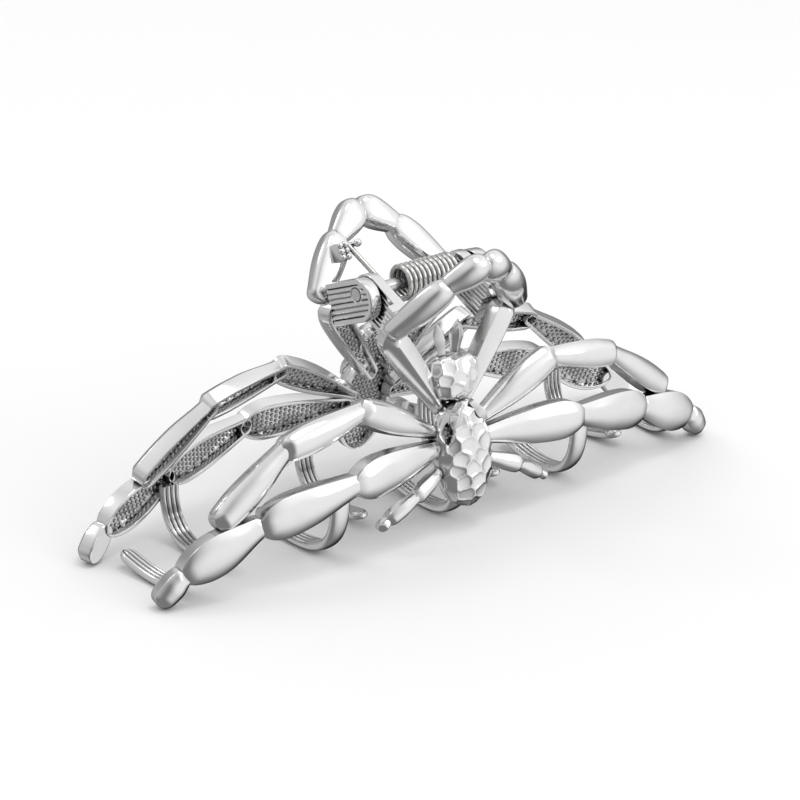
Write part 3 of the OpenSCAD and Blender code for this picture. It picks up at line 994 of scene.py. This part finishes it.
# Each lamp's place from the clip's middle (m), its size (m) and its power (W)
LAMPS = {
    "Key": ((0.45, -0.55, 0.4), 0.4, 0.5),
    "Top": ((0.1, -0.1, 0.8), 0.25, 0.7),
    "Rim": ((-0.35, 0.45, 0.6), 0.2, 0.4),
}
# The room that the metal mirrors: where each soft patch lies, the share of facing it where it starts and is
# full, and its strength. The last one is a dark wall.
ROOM = (
    ((0.55, -0.80, 0.15), 0.18, 0.97, 0.72),
    ((0.20, 0.10, 0.97), 0.3, 1.0, 0.5),
    ((0.70, 0.60, 0.35), 0.5, 1.0, 0.28),
    ((-0.75, 0.3, 0.5), 0.55, 0.98, 0.35),
    ((-0.3, 0.8, -0.5), 0.5, 0.97, 0.28),
    ((0.61, 0.69, -0.39), 0.4, 0.95, -0.2),
)
ROOM_STRENGTH = 0.2
WHITE = (1, 1, 1, 1)
# How far the floor reaches (m), and how far it lies below the clip (mm)
FLOOR_REACH, FLOOR_GAP = 6.0, 0.02


class CLAW_OT_stage(bpy.types.Operator):
    """Sets up the floor, the soft studio light and the camera."""
    bl_idname = "claw.stage"
    bl_label = "Studio and camera"

    def execute(self, context):
        stage = context.scene.claw_stage
        self.camera(context, stage)
        self.floor(context, stage)
        self.lights(context, stage)
        self.surroundings(context, stage)
        context.scene.view_settings.view_transform = "Standard"
        return {"FINISHED"}

    def camera(self, context, stage):
        az, el, roll = (math.radians(x) for x in (stage.azimuth, stage.elevation, stage.roll))
        back = Vector((math.sin(az) * math.cos(el), -math.cos(az) * math.cos(el), math.sin(el)))
        right = Vector((math.cos(az), math.sin(az), 0))
        turned = right * math.cos(roll) + back.cross(right) * math.sin(roll)
        lens = bpy.data.cameras.new("Camera")
        lens.lens, lens.sensor_width = stage.lens, 36
        lens.clip_start, lens.clip_end = 0.05, 20
        camera = add_object("Camera", lens)
        aim = Vector(on_hinge(*AIM)) * MM
        axes = Matrix((turned, back.cross(turned), back)).transposed()
        camera.matrix_world = Matrix.Translation(aim + back * stage.distance) @ axes.to_4x4()
        context.scene.camera = camera

    def floor(self, context, stage):
        far, z = FLOOR_REACH, cad_low.z - FLOOR_GAP * MM
        mesh = bpy.data.meshes.new("floor")
        mesh.from_pydata([(-far, -far, z), (far, -far, z), (far, far, z), (-far, far, z)], [], [(0, 1, 2, 3)])
        floor = add_object("floor", mesh)
        material = bpy.data.materials.new("Pale floor")
        material.use_nodes = True
        shader = material.node_tree.nodes["Principled BSDF"]
        shader.inputs["Base Color"].default_value = (*stage.floor, 1)
        shader.inputs["Roughness"].default_value = 0.9
        mesh.materials.append(material)
        floor.visible_glossy = False

    def lights(self, context, stage):
        centre = (Vector(cad_low) + Vector(cad_high)) / 2
        for name, (place_m, size, watts) in LAMPS.items():
            light = bpy.data.lights.new(name, "AREA")
            light.shape = "DISK"
            light.size = size
            light.energy = watts * stage.light
            lamp = add_object(name, light)
            lamp.location = centre + Vector(place_m)
            lamp.rotation_euler = (centre - lamp.location).to_track_quat("-Z", "Y").to_euler()

    def surroundings(self, context, stage):
        """Plain white behind the clip, even light on the floor, and a room of soft patches for the metal."""
        world = bpy.data.worlds.new("Studio")
        context.scene.world = world
        world.use_nodes = True
        tree = world.node_tree
        where = add(tree, "ShaderNodeTexCoord").outputs["Generated"]
        total = ROOM_STRENGTH
        for toward, low, high, strength in ROOM:
            facing = add(tree, "ShaderNodeVectorMath", {0: where, 1: Vector(toward).normalized()},
                         operation="DOT_PRODUCT")
            patch = add(tree, "ShaderNodeMapRange",
                        {"Value": facing.outputs["Value"], "From Min": low, "From Max": high,
                         "To Max": strength}, interpolation_type="SMOOTHSTEP")
            total = add(tree, "ShaderNodeMath", {0: total, 1: patch.outputs["Result"]}).outputs[0]
        room = tree.nodes["Background"]
        room.inputs["Color"].default_value = WHITE
        feed(tree, room, {"Strength": total})
        seen = room.outputs["Background"]
        paths = add(tree, "ShaderNodeLightPath")
        for label, strength in (("Is Diffuse Ray", 0.95 * stage.light), ("Is Camera Ray", 1.0)):
            plain = add(tree, "ShaderNodeBackground", {"Color": WHITE, "Strength": strength})
            seen = add(tree, "ShaderNodeMixShader",
                       {"Fac": paths.outputs[label], 1: seen, 2: plain.outputs["Background"]}).outputs[0]
        feed(tree, tree.nodes["World Output"], {"Surface": seen})


class CLAW_OT_legs(bpy.types.Operator):
    """Makes the main, upper and short legs of both spiders."""
    bl_idname = "claw.legs"
    bl_label = "Legs"

    def execute(self, context):
        quarter_segments("main_leg", main_segments())
        quarter_segments("upper_leg", upper_segments())
        quarter_segments("short_leg", short_segments())
        return {"FINISHED"}


class CLAW_OT_handles(bpy.types.Operator):
    """Makes the raised legs that form the two handles."""
    bl_idname = "claw.handles"
    bl_label = "Handles"

    def execute(self, context):
        quarter_segments("handle_lower", lower_handle_segments())
        quarter_segments("handle_upper", upper_handle_segments())
        return {"FINISHED"}


class CLAW_OT_bodies(bpy.types.Operator):
    """Makes the faceted abdomens and heads, with their fangs."""
    bl_idname = "claw.bodies"
    bl_label = "Abdomens and heads"

    def execute(self, context):
        for kind, body, trim in (("abdomen", abdomen(), neck_petal()), ("head", head(), fang())):
            parts = [body.part(), trim, mirrored(trim, True, False)]
            for half in HALVES:
                cast(f"{half}_{kind}", half, True, parts, crease=60)
        return {"FINISHED"}


class CLAW_OT_beads(bpy.types.Operator):
    """Makes the rows of beads in the hollow backs of the legs and bodies."""
    bl_idname = "claw.beads"
    bl_label = "Beads"

    def execute(self, context):
        paired = [b for s in main_segments() + upper_segments() + lower_handle_segments() for b in s.beads()]
        single = abdomen().beads() + head().beads()
        tree = bead_tree()
        for half in HALVES:
            flip = 1 if half == "front" else -1
            beads = [np.array(b) * (side, flip, 1) for side in (1, -1) for b in paired]
            beads += [np.array(b) * (1, flip, 1) for b in single]
            seeds = bpy.data.meshes.new(half + "_bead_places")
            seeds.from_pydata([tuple(place_mm * MM) for place_mm, _ in beads], [], [])
            facing = seeds.attributes.new("facing", "FLOAT_VECTOR", "POINT")
            facing.data.foreach_set("vector", np.array([n for _, n in beads], np.float32).ravel())
            piece = grown(half + "_beads", seeds, tree, {
                "Bead Radius": shape().bead, "Flatness": 0.85, "Finish": material("beads")})
            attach(piece, half + "_jaw")
        return {"FINISHED"}


class CLAW_OT_teeth(bpy.types.Operator):
    """Makes the curved teeth of both jaws."""
    bl_idname = "claw.teeth"
    bl_label = "Teeth"

    def execute(self, context):
        for half, kinds in teeth().items():
            for kind, root, bulge in kinds:
                part = tooth(root, bulge)
                for side in [""] if kind == "tooth_centre" else ["_left", "_right"]:
                    cast(f"{half}_{kind}{side}", half, side != "_left", [part], crease=80)
        return {"FINISHED"}


class CLAW_OT_hinge(bpy.types.Operator):
    """Makes the grooved ears, and finishes the pin and the spring's seats."""
    bl_idname = "claw.hinge"
    bl_label = "Hinge"

    def execute(self, context):
        inner_plate_x = mm(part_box("back_ear_right")[0].x) - EAR_GAP
        for half in HALVES:
            low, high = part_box(f"{half}_ear_right")
            plate_x = inner_plate_x if half == "front" else mm(high.x)
            part = ear(mm(low.x), plate_x, mm(high.x))
            for side in ("left", "right"):
                cast(f"{half}_ear_{side}", half, side == "right", [part], crease=70)
            arm_low, arm_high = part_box("spring_arm_" + half)
            arm_x = mm(-arm_low.x if half == "back" else arm_high.x) - mm(shape().wire) / 2
            cast(half + "_spring_lug", half, half == "front", spring_seat(arm_x))
        pin = frame["nodes"]["hinge_pin"]
        pin.data.materials.clear()
        pin.data.materials.append(material("pin"))
        return {"FINISHED"}


ARM_REACH, ARM_ANGLE = 11.7, math.radians(20)
COIL_TURNS, COIL_STEPS, ARM_STEPS = 12, 352, 13


class CLAW_OT_spring(bpy.types.Operator):
    """Winds the torsion spring: one wire with a close coil and two straight arms."""
    bl_idname = "claw.spring"
    bl_label = "Spring"

    def execute(self, context):
        low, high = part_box("spring_coil")
        wire = mm(shape().wire)
        r = (mm(shape().coil) - wire) / 2
        left, right = mm(low.x) + wire / 2, mm(high.x) - wire / 2
        out, up = ARM_REACH * math.cos(ARM_ANGLE), ARM_REACH * math.sin(ARM_ANGLE)
        back_tip, front_tip = (np.array([mm(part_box("spring_arm_" + half)[0].x) + wire / 2, y, up])
                               for half, y in (("back", out), ("front", -out)))
        leave = ARM_ANGLE - math.acos(r / ARM_REACH)
        coil = []
        for share in np.linspace(0, 1, COIL_STEPS + 1):
            a = mix(leave, math.pi - leave - 2 * math.pi * COIL_TURNS, share)
            coil.append(np.array([mix(left, right, share), r * math.cos(a), r * math.sin(a)]))
        shares = np.linspace(0, 1, ARM_STEPS + 1)
        path = [mix(back_tip, coil[0], s) for s in shares[:-1]] + coil
        path += [mix(coil[-1], front_tip, s) for s in shares[1:]]
        places = [((p + np.array([0, 0, HINGE_Z])) * MM).tolist() for p in path]
        seed = bpy.data.meshes.new("spring_path")
        seed.from_pydata(places, [(i, i + 1) for i in range(len(places) - 1)], [])
        piece = grown("torsion_spring", seed, wire_tree(), {
            "Wire Radius": shape().wire / 2, "Finish": material("wire")})
        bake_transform(piece)
        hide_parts("spring_coil", "spring_arm_back", "spring_arm_front")
        return {"FINISHED"}


OPERATORS = (CLAW_OT_stage, CLAW_OT_legs, CLAW_OT_handles, CLAW_OT_bodies, CLAW_OT_beads, CLAW_OT_teeth,
             CLAW_OT_hinge, CLAW_OT_spring)


class CLAW_PT_panel(bpy.types.Panel):
    """Lists the sizes and finishes of the clip, and the steps that make it."""
    bl_label = "Claw Clip"
    bl_idname = "CLAW_PT_panel"
    bl_space_type = "VIEW_3D"
    bl_region_type = "UI"
    bl_category = "Claw Clip"

    def draw(self, context):
        for group in (context.scene.claw_shape, context.scene.claw_finish, context.scene.claw_stage):
            box = self.layout.box()
            for name in group.__annotations__:
                box.prop(group, name)
        for operator in OPERATORS:
            self.layout.operator(operator.bl_idname)


CLASSES = (ClawShape, ClawFinish, ClawStage, *OPERATORS, CLAW_PT_panel)
GROUPS = {"claw_shape": ClawShape, "claw_finish": ClawFinish, "claw_stage": ClawStage}


def register():
    for cls in CLASSES:
        bpy.utils.register_class(cls)
    for name, group in GROUPS.items():
        setattr(bpy.types.Scene, name, bpy.props.PointerProperty(type=group))


def unregister():
    for name in GROUPS:
        delattr(bpy.types.Scene, name)
    for cls in reversed(CLASSES):
        bpy.utils.unregister_class(cls)


def main():
    register()
    for operator in OPERATORS:
        group, name = operator.bl_idname.split(".")
        getattr(getattr(bpy.ops, group), name)()


if __name__ == "__main__":
    main()
